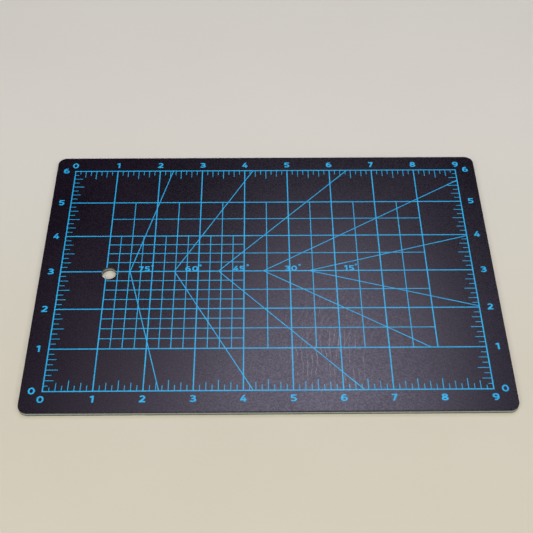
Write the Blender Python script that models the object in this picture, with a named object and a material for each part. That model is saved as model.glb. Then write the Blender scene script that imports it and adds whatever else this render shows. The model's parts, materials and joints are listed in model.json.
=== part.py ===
"""A small self-healing cutting mat, built as the laminate that it is.

Three plies lie on each other with a hairline bond gap between them: a dark base ply,
a pale stiff core and a soft black top ply. They share one rounded outline and one
hang hole. The ink is modelled as thin solids on the top ply. A first pass prints the
inch grid with its eighth-inch rules, and the scale numerals around it. A second pass,
just above the first, prints the five angle guides and their labels.

Frame: the origin is the centre of the mat's underside, +X runs along the long side,
+Y along the short side and +Z is up. Every length is in metres.
"""

import math

import bmesh
import bpy
from mathutils import Matrix

COLLECTION_NAME = "self_healing_mat"
INCH = 0.0254

# The ruled field, in whole inches.
GRID_COLUMNS = 9
GRID_ROWS = 6

# The plain border between the ruled field and each edge of the mat.
MARGIN_LEFT = 0.0113
MARGIN_RIGHT = 0.0117
MARGIN_FRONT = 0.0123
MARGIN_BACK = 0.0109

# The laminate. The bond gap is the film of glue between two plies.
CORNER_RADIUS = 0.0050
CORNER_STEPS = 16
BASE_THICKNESS = 0.00088
CORE_THICKNESS = 0.00120
TOP_THICKNESS = 0.00088
BOND_GAP = 0.00002
RIM_BEVEL = 0.00012

# The hang hole, placed in inches from the ruled field's front left corner.
HOLE_DIAMETER = 0.0080
HOLE_X = 1.057
HOLE_Y = 2.955
HOLE_STEPS = 64

# The ink. A print stops a little short of the hole's rim.
INK_THICKNESS = 0.00003
INK_GAP = 0.00002
HOLE_PRINT_CLEARANCE = 0.00006

# Line widths of the print.
INCH_LINE = 0.00062
HALF_LINE = 0.00045
QUARTER_LINE = 0.00042
TICK_LINE = 0.00034
HALF_TICK_LINE = 0.00038
GUIDE_LINE = 0.00048

# Tick lengths, from the middle of the border line inwards.
CORNER_TICK = 0.0023
EIGHTH_TICK = 0.0034
QUARTER_TICK = 0.0050
HALF_TICK = 0.0064

# The finer parts of the grid, as first and last inch along each side.
HALF_FIELD_X = (1, 8)
HALF_FIELD_Y = (1, 5)
QUARTER_FIELD_X = (1, 4)
QUARTER_FIELD_Y = (1, 4)

# The last inch line before the right border starts at this row, above a blank cell.
SHORT_COLUMN = 8
SHORT_COLUMN_START = 1

# Angle guides: each is a V whose apex lies on the middle row line. The values are its
# angle, its apex in inches, and where its upper and lower arm end. The print is a
# little steep: each slope is this much more than its angle's.
GUIDE_ROW = 3
GUIDE_STEEPNESS = 1.0075
GUIDES = (
    (75, 1.515, ("row", 6), ("row", 0)),
    (60, 2.479, ("row", 6), ("row", 0)),
    (45, 3.442, ("row", 6), ("row", 0)),
    (30, 4.424, ("column", 9), ("row", 1)),
    (15, 5.415, ("column", 9), ("column", 9)),
)

# Numerals: cap height, and the distance from the border line to a numeral's middle.
# The side numerals sit a little above their lines, and the first and last numerals of
# the long sides a little outside theirs.
NUMERAL_HEIGHT = 0.0040
FRONT_NUMERAL_OFFSET = 0.178 * INCH
BACK_NUMERAL_OFFSET = 0.182 * INCH
LEFT_NUMERAL_OFFSET = 0.216 * INCH
RIGHT_NUMERAL_OFFSET = 0.232 * INCH
SIDE_NUMERAL_RISE = 0.015 * INCH
END_NUMERAL_SHIFT = 0.018 * INCH

# Angle labels: cap height, baseline, and where each glyph's middle lies, in inches.
LABEL_HEIGHT = 0.0036
LABEL_BASELINE = 2.998
LABELS = (
    (75, (("7", 1.752), ("5", 1.885)), 1.995),
    (60, (("6", 2.777), ("0", 2.930)), 3.043),
    (45, (("4", 3.820), ("5", 3.953)), 4.077),
    (30, (("3", 4.947), ("0", 5.094)), 5.213),
    (15, (("1", 6.226), ("5", 6.350)), 6.452),
)
DEGREE_HEIGHT = 3.158
DEGREE_DIAMETER = 0.00135
DEGREE_BORE = 0.00050

# Glyph strokes, as fractions of the cap height. The wide numerals are stretched along
# X by these factors, and the steps are the degrees between points on a bowl.
STEM = 0.215
BAR = 0.190
WIDE_NUMERALS = {
    "0": 1.04, "1": 1.08, "2": 1.08, "3": 1.25, "5": 1.15, "6": 1.17, "8": 1.16, "9": 1.18,
}
OUTER_STEP = 15
INNER_STEP = 20

# Heights of the layers above the table.
CORE_BOTTOM = BASE_THICKNESS + BOND_GAP
TOP_BOTTOM = CORE_BOTTOM + CORE_THICKNESS + BOND_GAP
MAT_HEIGHT = TOP_BOTTOM + TOP_THICKNESS
FIRST_PASS = MAT_HEIGHT + INK_GAP
SECOND_PASS = FIRST_PASS + INK_THICKNESS + INK_GAP

MAT_LENGTH = GRID_COLUMNS * INCH + MARGIN_LEFT + MARGIN_RIGHT
MAT_WIDTH = GRID_ROWS * INCH + MARGIN_FRONT + MARGIN_BACK

WELD = 0.000001
TURN = 360


def across(inches):
    """X of a column line, counted in inches from the ruled field's left border."""
    return inches * INCH + MARGIN_LEFT - MAT_LENGTH / 2


def along(inches):
    """Y of a row line, counted in inches from the ruled field's front border."""
    return inches * INCH + MARGIN_FRONT - MAT_WIDTH / 2


# ---------------------------------------------------------------- scene and materials


def clear_scene():
    for old in list(bpy.data.objects):
        bpy.data.objects.remove(old, do_unlink=True)


def new_collection(name):
    collection = bpy.data.collections.new(name)
    bpy.context.scene.collection.children.link(collection)
    return collection


def new_material(name, color, roughness):
    material = bpy.data.materials.new(name)
    material.use_nodes = True
    shader = material.node_tree.nodes["Principled BSDF"]
    shader.inputs["Base Color"].default_value = (*color, 1.0)
    shader.inputs["Roughness"].default_value = roughness
    shader.inputs["Metallic"].default_value = 0.0
    return material


# ------------------------------------------------------------------------- outlines


def arc(center, radii, start, end, step):
    """Points on an ellipse from start to end, in degrees, both ends included."""
    count = max(2, round(abs(end - start) / step))
    points = []
    for i in range(count + 1):
        angle = math.radians(start + (end - start) * i / count)
        x = center[0] + radii[0] * math.cos(angle)
        y = center[1] + radii[1] * math.sin(angle)
        points.append((x, y))
    return points


def ellipse(center, radii, step):
    return arc(center, radii, 0, TURN, step)[:-1]


def rectangle(x0, y0, x1, y1):
    return [(x0, y0), (x1, y0), (x1, y1), (x0, y1)]


def rounded_rectangle(length, width, radius):
    """A rectangle about the origin with a quarter circle at each corner."""
    corners = ((1, 1, 0), (-1, 1, 90), (-1, -1, 180), (1, -1, 270))
    points = []
    for side_x, side_y, start in corners:
        center = (side_x * (length / 2 - radius), side_y * (width / 2 - radius))
        points += arc(center, (radius, radius), start, start + 90, 90 / CORNER_STEPS)
    return points


def mesh_from_loops(name, loops, thickness):
    """A closed slab about z = 0. The first loop is its rim and the others are holes."""
    curve = bpy.data.curves.new(name, "CURVE")
    curve.dimensions = "2D"
    curve.fill_mode = "BOTH"
    curve.extrude = thickness / 2
    for loop in loops:
        spline = curve.splines.new("POLY")
        spline.points.add(len(loop) - 1)
        for point, (x, y) in zip(spline.points, loop):
            point.co = (x, y, 0.0, 1.0)
        spline.use_cyclic_u = True
    outline = bpy.data.objects.new(name, curve)
    bpy.context.scene.collection.objects.link(outline)
    evaluated = outline.evaluated_get(bpy.context.evaluated_depsgraph_get())
    mesh = bpy.data.meshes.new_from_object(evaluated)
    mesh.name = name
    bpy.data.objects.remove(outline, do_unlink=True)
    weld(mesh)
    return mesh


def weld(mesh):
    """Join the caps to the walls, and turn every face outwards."""
    work = bmesh.new()
    work.from_mesh(mesh)
    bmesh.ops.remove_doubles(work, verts=work.verts, dist=WELD)
    bmesh.ops.recalc_face_normals(work, faces=work.faces)
    work.to_mesh(mesh)
    work.free()


def mesh_from_lines(name, lines, thickness):
    """A closed box about z = 0 for each line (x0, y0, x1, y1, width), in metres. The
    lines of one mesh run side by side and never cross."""
    work = bmesh.new()
    for x0, y0, x1, y1, width in lines:
        size = (max(x1 - x0, width), max(y1 - y0, width), thickness)
        center = ((x0 + x1) / 2, (y0 + y1) / 2, 0.0)
        matrix = Matrix.Translation(center) @ Matrix.Diagonal((*size, 1.0))
        bmesh.ops.create_cube(work, size=1.0, matrix=matrix)
    mesh = bpy.data.meshes.new(name)
    work.to_mesh(mesh)
    work.free()
    return mesh


def place(name, mesh, collection, height=0.0, material=None):
    obj = bpy.data.objects.new(name, mesh)
    obj.location.z = height
    collection.objects.link(obj)
    if material:
        obj.data.materials.clear()
        obj.data.materials.append(material)
    return obj


def as_operand(obj):
    """Mark a helper that only takes part in a Boolean."""
    obj.hide_render = True
    obj.display_type = "WIRE"


def boolean(obj, operation, operand):
    modifier = obj.modifiers.new(operation.lower(), "BOOLEAN")
    modifier.operation = operation
    modifier.solver = "EXACT"
    modifier.object = operand


# ---------------------------------------------------------------------------- plies


def add_ply(name, bottom, thickness, bevel_side, material, collection):
    """One ply of the laminate. bevel_side is 1 or -1 for the outer face whose rims are
    broken by the die, or 0 for a ply that stays square."""
    rim = rounded_rectangle(MAT_LENGTH, MAT_WIDTH, CORNER_RADIUS)
    center = (across(HOLE_X), along(HOLE_Y))
    radii = (HOLE_DIAMETER / 2, HOLE_DIAMETER / 2)
    hole = ellipse(center, radii, TURN / HOLE_STEPS)
    mesh = mesh_from_loops(name, [rim, hole], thickness)
    ply = place(name, mesh, collection, bottom + thickness / 2, material)
    if bevel_side:
        break_rims(mesh, bevel_side)
    return ply


def break_rims(mesh, side):
    """Chamfer the outer rim and the hole's rim of one face."""
    work = bmesh.new()
    work.from_mesh(mesh)
    sharp = []
    for edge in work.edges:
        on_face = all(vert.co.z * side > 0 for vert in edge.verts)
        on_rim = any(abs(face.normal.z) < 0.5 for face in edge.link_faces)
        if on_face and on_rim:
            sharp.append(edge)
    bmesh.ops.bevel(work, geom=sharp, offset=RIM_BEVEL, segments=1, affect="EDGES")
    work.to_mesh(mesh)
    work.free()


def add_plies(collection):
    base = new_material("base_ply", (0.062, 0.070, 0.058), 0.75)
    core = new_material("core_ply", (0.300, 0.330, 0.320), 0.60)
    top = new_material("top_ply", (0.020, 0.016, 0.022), 0.55)
    add_ply("base_ply", 0.0, BASE_THICKNESS, -1, base, collection)
    add_ply("core_ply", CORE_BOTTOM, CORE_THICKNESS, 0, core, collection)
    add_ply("top_ply", TOP_BOTTOM, TOP_THICKNESS, 1, top, collection)


# ----------------------------------------------------------------------- printed grid


def tick_size(side_inches, eighth):
    """Length and width of the tick at an eighth, or None where an inch line starts."""
    if eighth % 8 == 0:
        return None
    if eighth in (1, side_inches * 8 - 1):
        return CORNER_TICK, TICK_LINE
    if eighth % 4 == 0:
        return HALF_TICK, HALF_TICK_LINE
    if eighth % 2 == 0:
        return QUARTER_TICK, TICK_LINE
    return EIGHTH_TICK, TICK_LINE


def ticks(side_inches):
    """Place, length and width of every tick along one side, with places in inches."""
    for eighth in range(1, side_inches * 8):
        size = tick_size(side_inches, eighth)
        if size:
            yield eighth / 8, *size


def column_lines():
    """Every printed line that runs along Y, as (x0, y0, x1, y1, width) in metres."""
    lines = []
    for column in range(GRID_COLUMNS + 1):
        start = SHORT_COLUMN_START if column == SHORT_COLUMN else 0
        lines.append(column_line(column, start, GRID_ROWS, INCH_LINE))
    lines += fine_lines(column_line, HALF_FIELD_X, HALF_FIELD_Y, 2, HALF_LINE)
    lines += fine_lines(column_line, QUARTER_FIELD_X, QUARTER_FIELD_Y, 4, QUARTER_LINE)
    front, back = along(0), along(GRID_ROWS)
    for place_x, length, width in ticks(GRID_COLUMNS):
        x = across(place_x)
        lines.append((x, front, x, front + length, width))
        lines.append((x, back - length, x, back, width))
    short = across(SHORT_COLUMN)
    lines.append((short, front, short, front + HALF_TICK, HALF_LINE))
    return lines


def row_lines():
    """Every printed line that runs along X. The border rows fill the frame's corners."""
    lines = []
    for row in range(GRID_ROWS + 1):
        lines.append(row_line(row, 0, GRID_COLUMNS, INCH_LINE))
    corner = INCH_LINE / 2
    for row in (0, GRID_ROWS):
        x0, y0, x1, y1, width = lines[row]
        lines[row] = (x0 - corner, y0, x1 + corner, y1, width)
    lines += fine_lines(row_line, HALF_FIELD_Y, HALF_FIELD_X, 2, HALF_LINE)
    lines += fine_lines(row_line, QUARTER_FIELD_Y, QUARTER_FIELD_X, 4, QUARTER_LINE)
    left, right = across(0), across(GRID_COLUMNS)
    for place_y, length, width in ticks(GRID_ROWS):
        y = along(place_y)
        lines.append((left, y, left + length, y, width))
        lines.append((right - length, y, right, y, width))
    return lines


def column_line(column, start_row, end_row, width):
    return (across(column), along(start_row), across(column), along(end_row), width)


def row_line(row, start_column, end_column, width):
    return (across(start_column), along(row), across(end_column), along(row), width)


def fine_lines(make_line, steps, reach, parts, width):
    """Lines at the odd fractions of an inch between two inch lines, over one reach."""
    lines = []
    for count in range(steps[0] * parts + 1, steps[1] * parts, 2):
        lines.append(make_line(count / parts, reach[0], reach[1], width))
    return lines


def add_printed_grid(material, collection, operands):
    """Border, ticks and all grid lines as one web of ink, open around the hang hole."""
    middle = FIRST_PASS + INK_THICKNESS / 2
    columns = mesh_from_lines("column_lines", column_lines(), INK_THICKNESS)
    rows = mesh_from_lines("row_lines", row_lines(), INK_THICKNESS)
    row_web = place("row_lines", rows, operands, middle)
    as_operand(row_web)
    cutter = add_hole_cutter(operands)
    grid = place("printed_grid", columns, collection, middle, material)
    boolean(grid, "UNION", row_web)
    boolean(grid, "DIFFERENCE", cutter)


def add_hole_cutter(operands):
    center = (across(HOLE_X), along(HOLE_Y))
    radius = HOLE_DIAMETER / 2 + HOLE_PRINT_CLEARANCE
    disc = ellipse(center, (radius, radius), TURN / HOLE_STEPS)
    mesh = mesh_from_loops("hole_cutter", [disc], MAT_HEIGHT)
    cutter = place("hole_cutter", mesh, operands, FIRST_PASS)
    as_operand(cutter)
    return cutter


# ----------------------------------------------------------------------- angle guides


def guide_slope(angle):
    return GUIDE_STEEPNESS * math.tan(math.radians(angle))


def half_mitre(angle):
    """Half the width of a guide's line, measured along its row."""
    return GUIDE_LINE / 2 / math.sin(math.atan(guide_slope(angle)))


def guide_end(angle, apex, edge, side, limit):
    """Where one edge of a guide's arm meets the line that it stops at.

    edge is -1 for the V's outer edge and 1 for its inner edge, and side is 1 for the
    upper arm and -1 for the lower one. The result is in metres, from the ruled
    field's left border and from the guide row."""
    tangent = guide_slope(angle)
    start = apex * INCH + edge * half_mitre(angle)
    kind, inches = limit
    if kind == "row":
        reach = abs(inches - GUIDE_ROW) * INCH + INCH_LINE / 2
        return start + reach / tangent, side * reach
    reach = inches * INCH + INCH_LINE / 2
    return reach, side * (reach - start) * tangent


def guide_loop(angle, apex, upper, lower):
    """A mitred V, in order: outer apex, lower arm, inner apex, upper arm."""
    points = [
        (apex * INCH - half_mitre(angle), 0.0),
        guide_end(angle, apex, -1, -1, lower),
        guide_end(angle, apex, 1, -1, lower),
        (apex * INCH + half_mitre(angle), 0.0),
        guide_end(angle, apex, 1, 1, upper),
        guide_end(angle, apex, -1, 1, upper),
    ]
    return [(x + across(0), y + along(GUIDE_ROW)) for x, y in points]


def add_guides(material, collection):
    middle = SECOND_PASS + INK_THICKNESS / 2
    for angle, apex, upper, lower in GUIDES:
        name = f"angle_guide_{angle}"
        loop = guide_loop(angle, apex, upper, lower)
        mesh = mesh_from_loops(name, [loop], INK_THICKNESS)
        place(name, mesh, collection, middle, material)


# ----------------------------------------------------------------------------- glyphs


def ring(x, y, rx, ry):
    """A closed bowl, given by its centre and outer radii."""
    return [
        ellipse((x, y), (rx, ry), OUTER_STEP),
        ellipse((x, y), (rx - STEM, ry - BAR), INNER_STEP),
    ]


def band(x, y, rx, ry, start, end):
    """An open bowl: the stretch of a ring from start to end, in degrees."""
    outer = arc((x, y), (rx, ry), start, end, OUTER_STEP)
    inner = arc((x, y), (rx - STEM, ry - BAR), end, start, INNER_STEP)
    return [outer + inner]


def block(*corners):
    return [list(corners)]


def glyph_strokes():
    """The strokes of each numeral, in a cap height of 1, centred on x = 0."""
    six = [ring(0.005, 0.325, 0.365, 0.325), band(0.04, 0.50, 0.40, 0.50, 62, 200)]
    nine = [[[(-x, 1 - y) for x, y in loop] for loop in stroke] for stroke in six]
    return {
        "0": [ring(0, 0.50, 0.43, 0.50)],
        "1": [
            block(
                (-0.25, 0.87), (-0.19, 0.69), (0.0, 0.76), (0.0, 0.0),
                (0.225, 0.0), (0.225, 1.0), (0.06, 1.0),
            )
        ],
        "2": [
            band(-0.01, 0.685, 0.36, 0.315, -42, 160),
            block((0.10, 0.61), (-0.37, 0.17), (-0.37, 0.0), (-0.06, 0.12), (0.257, 0.474)),
            [rectangle(-0.37, 0.0, 0.36, BAR)],
        ],
        "3": [
            band(-0.01, 0.725, 0.33, 0.275, -85, 152),
            band(-0.01, 0.295, 0.37, 0.295, -152, 85),
            [rectangle(-0.14, 0.43, 0.06, 0.595)],
        ],
        "4": [
            block((0.03, 1.0), (-0.40, 0.34), (-0.17, 0.34), (0.28, 1.0)),
            [rectangle(-0.40, 0.19, 0.41, 0.375)],
            [rectangle(0.06, 0.0, 0.275, 0.60)],
        ],
        "5": [
            [rectangle(-0.27, 1 - BAR, 0.31, 1.0)],
            block((-0.29, 1.0), (-0.325, 0.46), (-0.11, 0.50), (-0.085, 0.95)),
            [rectangle(-0.30, 0.46, -0.02, 0.64)],
            band(-0.02, 0.32, 0.37, 0.32, -150, 95),
        ],
        "6": six,
        "7": [
            [rectangle(-0.35, 1 - BAR, 0.36, 1.0)],
            block((0.09, 0.86), (-0.27, 0.0), (-0.02, 0.0), (0.36, 0.86)),
        ],
        "8": [ring(0, 0.735, 0.325, 0.265), ring(0, 0.285, 0.375, 0.285)],
        "9": nine,
    }


def build_glyph(digit, strokes, operands):
    """Join the strokes of one numeral into a slab one unit high and one unit thick."""
    name = f"glyph_{digit}"
    first = place(name, mesh_from_loops(name, strokes[0], 1.0), operands)
    as_operand(first)
    parts = [first]
    for number, loops in enumerate(strokes[1:], start=1):
        part = place(f"{name}_{number}", mesh_from_loops(name, loops, 1.0), operands)
        as_operand(part)
        boolean(first, "UNION", part)
        parts.append(part)
    evaluated = first.evaluated_get(bpy.context.evaluated_depsgraph_get())
    mesh = bpy.data.meshes.new_from_object(evaluated)
    for part in parts:
        bpy.data.objects.remove(part, do_unlink=True)
    merge_flat_faces(mesh)
    return mesh


def merge_flat_faces(mesh):
    """Drop the vertices and edges that a Boolean leaves on flat faces."""
    work = bmesh.new()
    work.from_mesh(mesh)
    bmesh.ops.dissolve_limit(
        work, angle_limit=math.radians(1), verts=work.verts, edges=work.edges
    )
    work.to_mesh(mesh)
    work.free()


def add_glyph(name, mesh, x, y, height, layer, collection):
    """Place a numeral with the middle of its baseline at (x, y). The last character of
    the name is the numeral."""
    glyph = bpy.data.objects.new(name, mesh)
    glyph.location = (x, y, layer + INK_THICKNESS / 2)
    width = height * WIDE_NUMERALS.get(name[-1], 1.0)
    glyph.scale = (width, height, INK_THICKNESS)
    collection.objects.link(glyph)


def add_scales(glyphs, collection):
    """The numerals outside the four border lines."""
    drop = NUMERAL_HEIGHT / 2
    front = along(0) - FRONT_NUMERAL_OFFSET - drop
    back = along(GRID_ROWS) + BACK_NUMERAL_OFFSET - drop
    left = across(0) - LEFT_NUMERAL_OFFSET
    right = across(GRID_COLUMNS) + RIGHT_NUMERAL_OFFSET
    end_shifts = {0: -END_NUMERAL_SHIFT, GRID_COLUMNS: END_NUMERAL_SHIFT}
    for count in range(GRID_COLUMNS + 1):
        mesh = glyphs[str(count)]
        x = across(count) + end_shifts.get(count, 0.0)
        for name, y in (("front", front), ("back", back)):
            node = f"{name}_scale_{count}"
            add_glyph(node, mesh, x, y, NUMERAL_HEIGHT, FIRST_PASS, collection)
    for count in range(GRID_ROWS + 1):
        mesh = glyphs[str(count)]
        y = along(count) + SIDE_NUMERAL_RISE - drop
        for name, x in (("left", left), ("right", right)):
            node = f"{name}_scale_{count}"
            add_glyph(node, mesh, x, y, NUMERAL_HEIGHT, FIRST_PASS, collection)


def add_labels(glyphs, material, collection):
    """The value of each angle guide, with its degree ring."""
    baseline = along(LABEL_BASELINE)
    for angle, digits, degree_x in LABELS:
        for digit, x in digits:
            node = f"angle_label_{angle}_{digit}"
            mesh = glyphs[digit]
            add_glyph(node, mesh, across(x), baseline, LABEL_HEIGHT, SECOND_PASS, collection)
        center = (across(degree_x), along(DEGREE_HEIGHT))
        outer = (DEGREE_DIAMETER / 2, DEGREE_DIAMETER / 2)
        bore = (DEGREE_BORE / 2, DEGREE_BORE / 2)
        loops = [ellipse(center, outer, 30), ellipse(center, bore, 45)]
        node = f"angle_label_{angle}_degree"
        mesh = mesh_from_loops(node, loops, INK_THICKNESS)
        place(node, mesh, collection, SECOND_PASS + INK_THICKNESS / 2, material)


def main():
    clear_scene()
    mat = new_collection(COLLECTION_NAME)
    operands = new_collection("operands")
    ink = new_material("blue_ink", (0.045, 0.360, 0.800), 0.45)
    add_plies(mat)
    add_guides(ink, mat)
    glyphs = {}
    for digit, strokes in glyph_strokes().items():
        glyphs[digit] = build_glyph(digit, strokes, operands)
        glyphs[digit].materials.append(ink)
    add_scales(glyphs, mat)
    add_labels(glyphs, ink, mat)
    add_printed_grid(ink, mat, operands)
    bpy.context.view_layer.update()


main()
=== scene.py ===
"""Looks of a small self-healing cutting mat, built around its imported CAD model.

The three plies get finer sheets in place of their CAD solids: rims rounded by the die,
a slightly uneven cut edge and a core that lies a hair inside the two soft plies. The
ink stays as the CAD made it. Every surface gets a procedural material. Lengths are in
metres, in the frame of the CAD: +X right, +Y back and +Z up, with the table at z = 0.
"""

import json
import math

import bmesh
import bpy
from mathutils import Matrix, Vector, noise


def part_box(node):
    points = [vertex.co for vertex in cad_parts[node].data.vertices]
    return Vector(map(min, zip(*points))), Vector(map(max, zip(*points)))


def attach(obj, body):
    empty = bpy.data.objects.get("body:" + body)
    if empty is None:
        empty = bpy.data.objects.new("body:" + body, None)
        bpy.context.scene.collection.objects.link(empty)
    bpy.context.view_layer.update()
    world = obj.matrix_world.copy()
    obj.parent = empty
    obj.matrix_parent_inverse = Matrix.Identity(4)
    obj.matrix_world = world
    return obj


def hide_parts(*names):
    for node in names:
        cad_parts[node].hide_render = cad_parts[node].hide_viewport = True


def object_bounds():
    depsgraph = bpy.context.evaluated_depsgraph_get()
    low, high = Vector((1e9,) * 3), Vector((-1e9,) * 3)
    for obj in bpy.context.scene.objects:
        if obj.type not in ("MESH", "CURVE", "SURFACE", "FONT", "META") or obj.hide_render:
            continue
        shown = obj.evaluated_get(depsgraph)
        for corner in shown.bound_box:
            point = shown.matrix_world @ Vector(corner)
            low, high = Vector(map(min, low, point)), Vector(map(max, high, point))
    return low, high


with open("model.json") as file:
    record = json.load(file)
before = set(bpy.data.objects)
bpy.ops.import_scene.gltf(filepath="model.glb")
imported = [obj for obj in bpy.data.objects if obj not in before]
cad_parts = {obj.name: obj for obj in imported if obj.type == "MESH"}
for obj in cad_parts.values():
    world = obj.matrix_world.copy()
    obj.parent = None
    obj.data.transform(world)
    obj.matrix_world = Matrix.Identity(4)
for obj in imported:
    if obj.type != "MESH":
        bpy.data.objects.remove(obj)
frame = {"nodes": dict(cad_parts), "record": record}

cad_low, cad_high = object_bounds()

MM = 0.001

# ------------------------------------------------------------------------------ sizes

# The cut outline: its corners, and into how many steps its curves are divided.
CORNER_RADIUS = 5.0 * MM
CORNER_STEPS = 28
SIDE_STEP = 4.0 * MM
HOLE_STEPS = 96

# The rims: the steps of their rounding, the flat band beside it that keeps the shading
# of the face flat, and the angle over which an edge stays sharp.
ROUND_STEPS = 4
FLAT_BAND = 0.30 * MM
SHARP_ANGLE = math.radians(50)

# How far the die's cut wanders inwards, and over what length.
CUT_WANDER = 0.035 * MM
CUT_WAVELENGTH = 9.0 * MM

# Each sheet: its CAD node, how far its edge lies inside the outline, and the radius of
# its lower and of its upper rim.
SHEETS = {
    "top_sheet": ("top_ply", 0.0, 0.04 * MM, 0.22 * MM),
    "core_sheet": ("core_ply", 0.05 * MM, 0.02 * MM, 0.02 * MM),
    "base_sheet": ("base_ply", 0.0, 0.20 * MM, 0.04 * MM),
}

# --------------------------------------------------------------------------- patterns

# The pebble grain that the calender leaves in the soft plies, and which the ink follows.
GRAIN_SIZE = 0.45 * MM
GRAIN_DEPTH = 0.012 * MM

# Broad clouds, in which a surface's tone drifts.
TOP_CLOUD = 45.0 * MM
BASE_CLOUD = 30.0 * MM
INK_CLOUD = 12.0 * MM
TABLE_CLOUD = 90.0 * MM

# Fine patterns: specks in the PVC, thin spots in the ink, the die's drag lines and the
# layers in the core's edge, and the grain of the table.
FLECK_SIZE = 0.9 * MM
SCREEN_MESH = 0.30 * MM
DRAG_WIDTH = 0.25 * MM
DRAG_DEPTH = 0.02 * MM
LAYER_HEIGHT = 0.15 * MM
TABLE_GRAIN = 0.8 * MM
TABLE_GRAIN_DEPTH = 0.005 * MM

# The values of a noise between which something changes: a surface's tone or roughness,
# the roughness of specks, and where specks, thin spots and layers come out.
MIDTONES = (0.30, 0.70)
SPECK_SHADE = (0.35, 0.65)
SPECK_EDGE = (0.50, 0.80)
THIN_EDGE = (0.60, 0.80)
LAYER_EDGE = (0.45, 0.75)

# Patches of healed cuts: middle, reach along X and Y, pitch, the lines' turn from Y in
# degrees, and how clearly they show.
CUT_PATCHES = (
    ((31.0 * MM, -57.0 * MM), (25.0 * MM, 25.0 * MM), 2.5 * MM, 2.0, 1.0),
    ((36.0 * MM, -33.0 * MM), (34.0 * MM, 28.0 * MM), 2.9 * MM, 24.0, 0.35),
)

# Within a patch, the lines are the crests of waves, broken up by stretched noise.
PATCH_CORE = 0.45  # the part of the reach where they are at full strength
LINE_CREST = (0.93, 1.0)  # the height of a wave over which its line comes out
LINE_WAVER = {"Distortion": 6.0, "Detail": 3.0, "Detail_Scale": 0.8}
BREAK_SIZE = 5.0 * MM
BREAK_STRETCH = (1.6, 0.45, 1.0)
BREAK_EDGE = (0.42, 0.54)  # the values of the noise between which a line breaks off
CUT_DEPTH = 1.5  # in depths of the grain

# The pitch of Blender's wave texture at a scale of 1, in metres.
WAVE_PITCH = math.tau / 20

# ---------------------------------------------------------------------------- colours

# Linear colours. A pair is the dark and the light tone between which a surface drifts.
TOP_TONES = ((0.0024, 0.0002, 0.0048), (0.0040, 0.0008, 0.0070))
TOP_FLECK = (0.0064, 0.0026, 0.0105)
HEALED_CUT = (0.180, 0.170, 0.192)
BASE_TONES = ((0.052, 0.060, 0.055), (0.068, 0.076, 0.070))
BASE_FLECK = (0.090, 0.098, 0.092)
CORE_TONES = ((0.250, 0.280, 0.290), (0.345, 0.382, 0.395))
CORE_LAYER = (0.210, 0.235, 0.240)
INK_TONES = ((0.002, 0.400, 0.800), (0.009, 0.468, 0.870))
THIN_INK = (0.003, 0.200, 0.430)

# The table in front and at the back, with painted light: warmer in front and cooler towards
# the back, as the light falls there; and the colour where it is clouded.
# Painted light: the front colour is warmed and the back colour cooled as the lamps and
# window would light them.
PAINTED_LIGHT_TABLE_ENDS = ((0.659, 0.632, 0.521), (0.734, 0.726, 0.657))
TABLE_HAZE = (0.900, 0.880, 0.820)

# ----------------------------------------------------------------------------- studio

# The camera, which stands where the photographer did. Its turns are in degrees.
CAMERA_PLACE = (-0.00485, -0.3249, 0.4265)
CAMERA_TURN = (37.816, -0.185, -0.526)
CAMERA_LENS = 65.08

# The table, and the stretch of Y over which its painted light turns from warm in front to
# cool at the back.
FLOOR_SIZE = 2.6
PAINTED_LIGHT_FADE = (-0.12, 0.14)

# Lights: place, width, power in watts and colour. Each one points at the mat.
LIGHTS = {
    "sheen_light": ((0.165, 0.86, 1.45), 0.50, 3.6, (0.81, 0.76, 1.0)),
    "back_light": ((0.10, 0.55, 1.60), 0.80, 4.7, (0.81, 0.76, 1.0)),
    "corner_light": ((-0.25, 0.72, 1.50), 0.50, 0.75, (0.90, 0.76, 0.92)),
    "left_light": ((-1.10, -1.00, 1.40), 0.90, 12.3, (1.0, 1.0, 1.0)),
    "right_light": ((1.10, -1.00, 1.40), 0.90, 12.3, (1.0, 1.0, 1.0)),
    "front_light": ((0.0, -1.20, 1.40), 0.90, 12.0, (1.0, 0.93, 0.68)),
}

# The room: the heights between which it fades, as the sine of the angle above the
# horizon, and its colour below the one and above the other.
ROOM_LOW = (0.10, (0.62, 0.61, 0.58, 1.0))
ROOM_HIGH = (0.45, (0.010, 0.010, 0.012, 1.0))


# --------------------------------------------------------------------------- geometry


def hole_place():
    """The hang hole's middle, from the record's opening, and its radius, from the CAD."""
    low, high = frame["record"]["physics"]["openings"][0]["box_m"]
    center = Vector(((low[0] + high[0]) / 2, (low[1] + high[1]) / 2))
    vertices = frame["nodes"]["top_ply"].data.vertices
    return center, min((v.co.xy - center).length for v in vertices)


def outline():
    """Point and outward direction all round the mat's edge."""
    size = (cad_high - cad_low) / 2
    reach = (size.x - CORNER_RADIUS, size.y - CORNER_RADIUS)
    trail = []
    for side_x, side_y, start in ((1, 1, 0), (-1, 1, 90), (-1, -1, 180), (1, -1, 270)):
        center = Vector((side_x * reach[0], side_y * reach[1]))
        for step in range(CORNER_STEPS + 1):
            angle = math.radians(start + 90 * step / CORNER_STEPS)
            direction = Vector((math.cos(angle), math.sin(angle)))
            trail.append((center + direction * CORNER_RADIUS, direction))
    points = []
    for (here, direction), (after, _) in zip(trail, trail[1:] + trail[:1]):
        count = max(1, round((after - here).length / SIDE_STEP))
        for step in range(count):
            points.append((here.lerp(after, step / count), direction))
    return points


def hole_outline():
    """Point and direction into the hole all round its wall, in the edge's sense."""
    center, radius = hole_place()
    points = []
    for step in range(HOLE_STEPS):
        angle = math.tau * step / HOLE_STEPS
        direction = Vector((math.cos(angle), math.sin(angle)))
        points.append((center + direction * radius, -direction))
    return points


def wander(point):
    """How far the cut lies inside its line at a point: 0 to CUT_WANDER."""
    return CUT_WANDER * (0.5 + 0.5 * noise.noise(point.to_3d() / CUT_WAVELENGTH))


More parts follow.
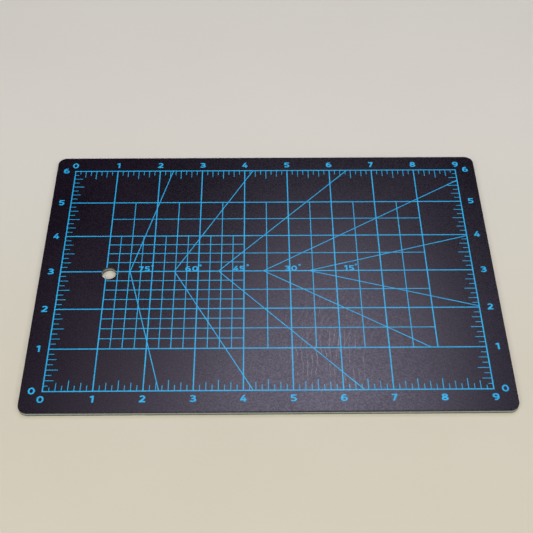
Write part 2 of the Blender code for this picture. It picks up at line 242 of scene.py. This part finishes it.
def rim_profile(low, high, lower_round, upper_round):
    """(inset, height) up one edge, from the lower face to the upper one."""
    profile = [(lower_round + FLAT_BAND, low)]
    for step in range(ROUND_STEPS + 1):
        turn = math.radians(90 * step / ROUND_STEPS)
        inset = lower_round * (1 - math.sin(turn))
        profile.append((inset, low + lower_round * (1 - math.cos(turn))))
    for step in range(ROUND_STEPS + 1):
        turn = math.radians(90 * step / ROUND_STEPS)
        inset = upper_round * (1 - math.cos(turn))
        profile.append((inset, high - upper_round * (1 - math.sin(turn))))
    profile.append((upper_round + FLAT_BAND, high))
    return profile


def build_wall(work, points, profile, edge_inset):
    """Loft one wall, and return its lowest and its highest loop of vertices."""
    loops = []
    for inset, height in profile:
        loop = []
        for point, direction in points:
            place = point - direction * (edge_inset + wander(point) + inset)
            loop.append(work.verts.new((place.x, place.y, height)))
        loops.append(loop)
    for below, above in zip(loops, loops[1:]):
        for i in range(len(points)):
            j = (i + 1) % len(points)
            work.faces.new((below[i], below[j], above[j], above[i]))
    return loops[0], loops[-1]


def loop_edges(work, loop):
    return [work.edges.get((a, b)) for a, b in zip(loop, loop[1:] + loop[:1])]


def build_sheet(name, node, edge_inset, lower_round, upper_round):
    """A closed sheet with rounded rims that stands for one CAD ply."""
    low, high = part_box(node)
    profile = rim_profile(low.z, high.z, lower_round, upper_round)
    work = bmesh.new()
    outer = build_wall(work, outline(), profile, edge_inset)
    inner = build_wall(work, hole_outline(), profile, edge_inset)
    for outer_loop, inner_loop in zip(outer, inner):
        rims = loop_edges(work, outer_loop) + loop_edges(work, inner_loop)
        bmesh.ops.triangle_fill(work, use_beauty=True, edges=rims)
    bmesh.ops.recalc_face_normals(work, faces=work.faces)
    for face in work.faces:
        face.smooth = True
    mesh = bpy.data.meshes.new(name)
    work.to_mesh(mesh)
    work.free()
    mesh.set_sharp_from_angle(angle=SHARP_ANGLE)
    sheet = bpy.data.objects.new(name, mesh)
    bpy.context.scene.collection.objects.link(sheet)
    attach(sheet, "root")
    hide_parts(node)
    return sheet


# -------------------------------------------------------------------------- materials


class Paint:
    """A Principled material that is put together node by node."""

    def __init__(self, name):
        self.material = bpy.data.materials.new(name)
        self.material.use_nodes = True
        self.tree = self.material.node_tree
        self.shader = self.tree.nodes["Principled BSDF"]
        self.coords = self.add("ShaderNodeTexCoord").outputs["Object"]

    def add(self, kind, settings=None, **inputs):
        """Add a node. An input's value is a constant or another node's output."""
        node = self.tree.nodes.new(kind)
        for key, value in (settings or {}).items():
            setattr(node, key, value)
        for key, value in inputs.items():
            self.plug(node.inputs[key.replace("_", " ")], value)
        return node

    def plug(self, socket, value):
        if isinstance(value, bpy.types.NodeSocket):
            self.tree.links.new(value, socket)
        else:
            socket.default_value = value

    def noise(self, size, detail=2.0, stretch=(1.0, 1.0, 1.0)):
        """Noise from 0 to 1 whose blotches are about this size."""
        scaled = self.add("ShaderNodeMapping", Vector=self.coords, Scale=stretch)
        node = self.add(
            "ShaderNodeTexNoise", Vector=scaled.outputs[0], Scale=1.0 / size, Detail=detail
        )
        return node.outputs["Fac"]

    def span(self, value, low, high, to_low=0.0, to_high=1.0):
        """Map low..high smoothly onto to_low..to_high."""
        node = self.add(
            "ShaderNodeMapRange", {"interpolation_type": "SMOOTHSTEP"},
            Value=value, From_Min=low, From_Max=high, To_Min=to_low, To_Max=to_high,
        )
        return node.outputs["Result"]

    def math(self, operation, a, b):
        node = self.add("ShaderNodeMath", {"operation": operation})
        self.plug(node.inputs[0], a)
        self.plug(node.inputs[1], b)
        return node.outputs[0]

    def vector_math(self, operation, a, b=(0.0, 0.0, 0.0)):
        node = self.add("ShaderNodeVectorMath", {"operation": operation})
        self.plug(node.inputs[0], a)
        self.plug(node.inputs[1], b)
        return node.outputs

    def mix(self, factor, a, b):
        """Blend two colours, each a tuple or an output."""
        node = self.add("ShaderNodeMix", {"data_type": "RGBA"}, Factor=factor)
        for socket, color in (("A", a), ("B", b)):
            is_output = isinstance(color, bpy.types.NodeSocket)
            self.plug(node.inputs[socket], color if is_output else (*color, 1.0))
        return node.outputs["Result"]

    def drift(self, pattern, tones):
        """A colour that drifts from the first tone to the second with a pattern."""
        return self.mix(self.span(pattern, *MIDTONES), *tones)

    def fleck(self, color, specks, speck_color):
        """Strew a colour with specks of another, which are half transparent."""
        return self.mix(self.span(specks, *SPECK_EDGE, to_high=0.5), color, speck_color)

    def bump(self, height, distance, strength):
        node = self.add(
            "ShaderNodeBump", Height=height, Distance=distance, Strength=strength
        )
        return node.outputs["Normal"]

    def grain(self):
        """Height of the pebble grain: soft cells with a finer noise on them."""
        cells = self.add(
            "ShaderNodeTexVoronoi", {"feature": "SMOOTH_F1"}, Vector=self.coords,
            Scale=1.0 / GRAIN_SIZE, Smoothness=0.6,
        )
        fine = self.noise(GRAIN_SIZE / 2, detail=3.0)
        return self.math("ADD", cells.outputs["Distance"], self.math("MULTIPLY", fine, 0.5))

    def finish(self, color, roughness, normal, specular=0.5):
        for key, value in (
            ("Base Color", color), ("Roughness", roughness), ("Normal", normal),
            ("Specular IOR Level", specular),
        ):
            self.plug(self.shader.inputs[key], value)
        return self.material


def cut_lines(paint, center, reach, pitch, turn):
    """Mask of the fine wavy lines in one patch of healed cuts."""
    local = paint.vector_math("SUBTRACT", paint.coords, (*center, 0.0))[0]
    flat = paint.vector_math("MULTIPLY", local, (1 / reach[0], 1 / reach[1], 0.0))[0]
    distance = paint.vector_math("LENGTH", flat)["Value"]
    patch = paint.span(distance, 1.0, PATCH_CORE)
    rotation = (0.0, 0.0, math.radians(turn))
    turned = paint.add("ShaderNodeMapping", Vector=local, Rotation=rotation)
    waves = paint.add(
        "ShaderNodeTexWave", {"bands_direction": "X"}, Vector=turned.outputs[0],
        Scale=WAVE_PITCH / pitch, **LINE_WAVER,
    )
    lines = paint.span(waves.outputs["Fac"], *LINE_CREST)
    broken = paint.span(paint.noise(BREAK_SIZE, stretch=BREAK_STRETCH), *BREAK_EDGE)
    return paint.math("MULTIPLY", paint.math("MULTIPLY", lines, broken), patch)


def healed_cuts(paint):
    """Mask of all the faint lines that the knife has left, mostly along Y."""
    total = 0.0
    for center, reach, pitch, turn, strength in CUT_PATCHES:
        lines = cut_lines(paint, center, reach, pitch, turn)
        total = paint.math("ADD", total, paint.math("MULTIPLY", lines, strength))
    return total


def top_material():
    """Soft black PVC with a violet cast, a fine grain and healed cuts."""
    paint = Paint("soft_black_pvc")
    cloud = paint.noise(TOP_CLOUD, detail=4.0)
    specks = paint.noise(FLECK_SIZE, detail=3.0)
    cuts = healed_cuts(paint)
    color = paint.fleck(paint.drift(cloud, TOP_TONES), specks, TOP_FLECK)
    color = paint.mix(cuts, color, HEALED_CUT)
    broad_rough = paint.span(cloud, *MIDTONES, to_low=0.25, to_high=0.27)
    fine_rough = paint.span(specks, *SPECK_SHADE, to_low=-0.02, to_high=0.05)
    rough = paint.math("ADD", broad_rough, fine_rough)
    height = paint.math("SUBTRACT", paint.grain(), paint.math("MULTIPLY", cuts, CUT_DEPTH))
    normal = paint.bump(height, GRAIN_DEPTH, strength=0.5)
    return paint.finish(color, rough, normal, specular=0.40)


def base_material():
    """Dark grey-green PVC with the same grain."""
    paint = Paint("grey_green_pvc")
    cloud = paint.noise(BASE_CLOUD, detail=4.0)
    specks = paint.noise(FLECK_SIZE, detail=3.0)
    color = paint.fleck(paint.drift(cloud, BASE_TONES), specks, BASE_FLECK)
    rough = paint.span(specks, *SPECK_SHADE, to_low=0.60, to_high=0.70)
    return paint.finish(color, rough, paint.bump(paint.grain(), GRAIN_DEPTH, strength=0.7))


def core_material():
    """Pale grey stiff sheet whose cut edge shows the drag lines of the die."""
    paint = Paint("pale_grey_core")
    drag = paint.noise(DRAG_WIDTH, detail=3.0, stretch=(1.0, 1.0, 0.12))
    layers = paint.noise(LAYER_HEIGHT, stretch=(0.03, 0.03, 1.0))
    layer_mask = paint.span(layers, *LAYER_EDGE, to_high=0.4)
    color = paint.mix(layer_mask, paint.drift(drag, CORE_TONES), CORE_LAYER)
    rough = paint.span(layers, *MIDTONES, to_low=0.50, to_high=0.62)
    return paint.finish(color, rough, paint.bump(drag, DRAG_DEPTH, strength=0.6))


def ink_material():
    """Screen-printed bright blue ink, a little uneven, that follows the mat's grain."""
    paint = Paint("screen_printed_ink")
    cloud = paint.noise(INK_CLOUD, detail=3.0)
    mesh = paint.noise(SCREEN_MESH)
    thin = paint.span(mesh, *THIN_EDGE, to_high=0.35)
    color = paint.mix(thin, paint.drift(cloud, INK_TONES), THIN_INK)
    rough = paint.span(mesh, *MIDTONES, to_low=0.38, to_high=0.48)
    return paint.finish(color, rough, paint.bump(paint.grain(), GRAIN_DEPTH, strength=0.4))


def floor_material():
    """A plain pale table top, faintly clouded, with painted light: warm in front and cooler
    at the back, as the light falls.
    """
    paint = Paint("pale_table")
    place = paint.add("ShaderNodeSeparateXYZ", Vector=paint.coords)
    # Painted light: the table's colour turns from warm in front to cooler at the back.
    color = paint.mix(paint.span(place.outputs["Y"], *PAINTED_LIGHT_FADE), *PAINTED_LIGHT_TABLE_ENDS)
    haze = paint.span(paint.noise(TABLE_CLOUD, detail=4.0), *MIDTONES, to_high=0.06)
    color = paint.mix(haze, color, TABLE_HAZE)
    fine = paint.noise(TABLE_GRAIN, detail=3.0)
    rough = paint.span(fine, *MIDTONES, to_low=0.52, to_high=0.60)
    normal = paint.bump(fine, TABLE_GRAIN_DEPTH, strength=0.3)
    return paint.finish(color, rough, normal, specular=0.3)


# --------------------------------------------------------------------------- the mat


def dress(piece, material):
    piece.data.materials.clear()
    piece.data.materials.append(material)


def build_mat():
    """Build the sheets, and give every piece and every CAD node its material."""
    skins = {
        "top_ply": top_material(),
        "core_ply": core_material(),
        "base_ply": base_material(),
    }
    for name, (node, edge_inset, lower_round, upper_round) in SHEETS.items():
        sheet = build_sheet(name, node, edge_inset, lower_round, upper_round)
        dress(sheet, skins[node])
    ink = ink_material()
    for name, node in frame["nodes"].items():
        if name in skins:
            dress(node, skins[name])
        else:
            for slot in node.material_slots:
                slot.material = ink


# ------------------------------------------------------------------------- the studio


def add_floor():
    bpy.ops.mesh.primitive_plane_add(size=FLOOR_SIZE)
    floor = bpy.context.object
    floor.name = "floor"
    dress(floor, floor_material())


def add_light(name, place, width, power, color):
    lamp = bpy.data.lights.new(name, "AREA")
    lamp.shape = "DISK"
    lamp.size = width
    lamp.energy = power
    lamp.color = color
    light = bpy.data.objects.new(name, lamp)
    light.location = place
    light.rotation_euler = (-light.location).to_track_quat("-Z", "Y").to_euler()
    bpy.context.scene.collection.objects.link(light)


def add_world():
    """Pale low down and dim above, as a room with dark upper walls and soft boxes."""
    world = bpy.data.worlds.new("studio")
    bpy.context.scene.world = world
    world.use_nodes = True
    tree = world.node_tree
    coords = tree.nodes.new("ShaderNodeTexCoord")
    split = tree.nodes.new("ShaderNodeSeparateXYZ")
    ramp = tree.nodes.new("ShaderNodeValToRGB")
    tree.links.new(coords.outputs["Generated"], split.inputs[0])
    tree.links.new(split.outputs["Z"], ramp.inputs["Fac"])
    tree.links.new(ramp.outputs["Color"], tree.nodes["Background"].inputs["Color"])
    low, high = ramp.color_ramp.elements
    low.position, low.color = ROOM_LOW
    high.position, high.color = ROOM_HIGH


def add_camera():
    camera = bpy.data.objects.new("camera", bpy.data.cameras.new("camera"))
    camera.location = CAMERA_PLACE
    camera.rotation_euler = [math.radians(angle) for angle in CAMERA_TURN]
    camera.data.lens = CAMERA_LENS
    bpy.context.scene.collection.objects.link(camera)
    bpy.context.scene.camera = camera


build_mat()
add_floor()
for light_name, values in LIGHTS.items():
    add_light(light_name, *values)
add_world()
add_camera()
bpy.context.scene.view_settings.view_transform = "Standard"
